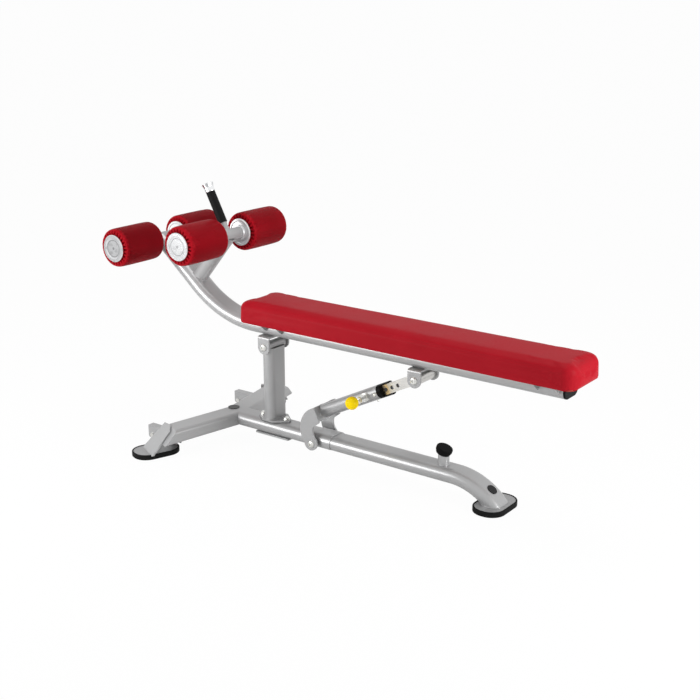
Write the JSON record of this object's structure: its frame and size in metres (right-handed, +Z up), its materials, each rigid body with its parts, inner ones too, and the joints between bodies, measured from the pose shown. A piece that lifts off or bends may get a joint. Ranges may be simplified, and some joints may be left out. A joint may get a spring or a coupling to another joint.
{
  "type": "adjustable abdominal bench",
  "caption": "Decline sit-up bench with a tilting padded board, foam ankle rollers, a centre hand grip and a telescopic lock-pin strut.",
  "frame": {"origin": "on the floor, straight below the seat pivot", "axes": "+X along the bench from the ankle rollers to the free end of the pad, +Y to the bench's left, +Z up"},
  "size_m": [1.813, 0.8008, 0.9414],
  "materials": {
    "frame_paint": "satin powder coat",
    "foot_steel": "satin powder coat",
    "shoe_rubber": "matte moulded rubber",
    "bumper_rubber": "matte moulded rubber",
    "wheel_plastic": "matte",
    "zinc": "bright zinc",
    "polished_steel": "polished",
    "disc_aluminium": "turned and polished",
    "black_plastic": "fine grain",
    "emblem_black": "plain, gloss",
    "bush_nylon": "smooth",
    "grip_rubber": "fine knurl",
    "red_foam": "red upholstery vinyl",
    "red_vinyl": "red upholstery vinyl",
    "board_wood": "plywood",
    "knob_yellow": "gloss yellow"
  },
  "bodies": {
    "base": {"base_beam": "frame_paint", "leg_left": "frame_paint", "leg_right": "frame_paint", "leg_end_plate_left": "frame_paint", "leg_end_plate_right": "frame_paint", "foot_plate_left": "foot_steel", "foot_plate_right": "foot_steel", "foot_plate_rear": "foot_steel", "foot_shoe_left": "shoe_rubber", "foot_shoe_right": "shoe_rubber", "foot_shoe_rear": "shoe_rubber", "wheel_bracket_left": "frame_paint", "wheel_bracket_right": "frame_paint", "wheel_axles": "zinc", "post": "frame_paint", "post_plate": "frame_paint", "post_bolts": "zinc", "post_sleeve": "frame_paint", "pivot_bushes": "bush_nylon", "strut_saddle": "frame_paint", "bumper_post": "frame_paint", "bumper_cap": "bumper_rubber", "emblem_discs": "emblem_black"},
    "seat_frame": {"seat_tube": "frame_paint", "seat_tube_plug": "black_plastic", "support_tube": "frame_paint", "roller_bar_front": "frame_paint", "roller_bar_rear": "frame_paint", "roller_inner_discs": "disc_aluminium", "roller_end_caps": "disc_aluminium", "grip_stem": "frame_paint", "grip_sleeve": "grip_rubber", "grip_end_cap": "polished_steel", "clevis_front": "frame_paint", "clevis_rear": "frame_paint", "pivot_bolts": "zinc", "pivot_nuts": "zinc", "pad_cross_plates": "frame_paint", "pad_screws": "zinc", "pad_board": "board_wood", "pad_cushion": "red_vinyl"},
    "strut": {"strut_yoke": "frame_paint", "strut_bolt": "zinc", "strut_tube": "frame_paint", "strut_guide": "black_plastic", "lock_pin_housing": "zinc", "lock_pin_spring": "zinc"},
    "lock": {"lock_pin": "zinc", "lock_knob": "knob_yellow"},
    "strut_slider": {"strut_bar": "zinc"},
    "transport_wheel_left": {"transport_wheel_left": "wheel_plastic"},
    "transport_wheel_right": {"transport_wheel_right": "wheel_plastic"},
    "roller_front_left": {"roller_hub_front_left": "bush_nylon", "roller_foam_front_left": "red_foam"},
    "roller_front_right": {"roller_hub_front_right": "bush_nylon", "roller_foam_front_right": "red_foam"},
    "roller_rear_left": {"roller_hub_rear_left": "bush_nylon", "roller_foam_rear_left": "red_foam"},
    "roller_rear_right": {"roller_hub_rear_right": "bush_nylon", "roller_foam_rear_right": "red_foam"}
  },
  "joints": [
    {"name": "seat_tilt", "type": "hinge", "parent": "base", "child": "seat_frame", "pos_m": [0, 0, 0.386], "axis": [0, 1, 0], "range_deg": [0, 20.1]},
    {"name": "strut_swing", "type": "hinge", "parent": "base", "child": "strut", "pos_m": [0.215, 0, 0.0732], "axis": [0, 1, 0], "range_deg": [0, 25.26]},
    {"name": "strut_extend", "type": "slide", "parent": "strut", "child": "strut_slider", "axis": [0.893, 0, 0.4501], "range_m": [-0.1338, 0]},
    {"name": "lock_pin_slide", "type": "slide", "parent": "strut", "child": "lock", "axis": [0, 1, 0], "range_m": [0, 0.016]},
    {"name": "transport_wheel_spin_left", "type": "hinge", "parent": "base", "child": "transport_wheel_left", "pos_m": [-0.38, 0.237, 0.03], "axis": [0, 1, 0], "continuous": true},
    {"name": "transport_wheel_spin_right", "type": "hinge", "parent": "base", "child": "transport_wheel_right", "pos_m": [-0.38, -0.237, 0.03], "axis": [0, 1, 0], "continuous": true},
    {"name": "roller_spin_front_left", "type": "hinge", "parent": "seat_frame", "child": "roller_front_left", "pos_m": [-0.522, 0.1605, 0.711], "axis": [0, 1, 0], "continuous": true},
    {"name": "roller_spin_front_right", "type": "hinge", "parent": "seat_frame", "child": "roller_front_right", "pos_m": [-0.522, -0.1605, 0.711], "axis": [0, 1, 0], "continuous": true},
    {"name": "roller_spin_rear_left", "type": "hinge", "parent": "seat_frame", "child": "roller_rear_left", "pos_m": [-0.204, 0.1605, 0.757], "axis": [0, 1, 0], "continuous": true},
    {"name": "roller_spin_rear_right", "type": "hinge", "parent": "seat_frame", "child": "roller_rear_right", "pos_m": [-0.204, -0.1605, 0.757], "axis": [0, 1, 0], "continuous": true}
  ],
  "couplings": [
    {"joint": "strut_swing", "follows": "seat_tilt", "ratio": 1.254},
    {"joint": "strut_extend", "follows": "seat_tilt", "m_per_rad": -0.38103}
  ]
}
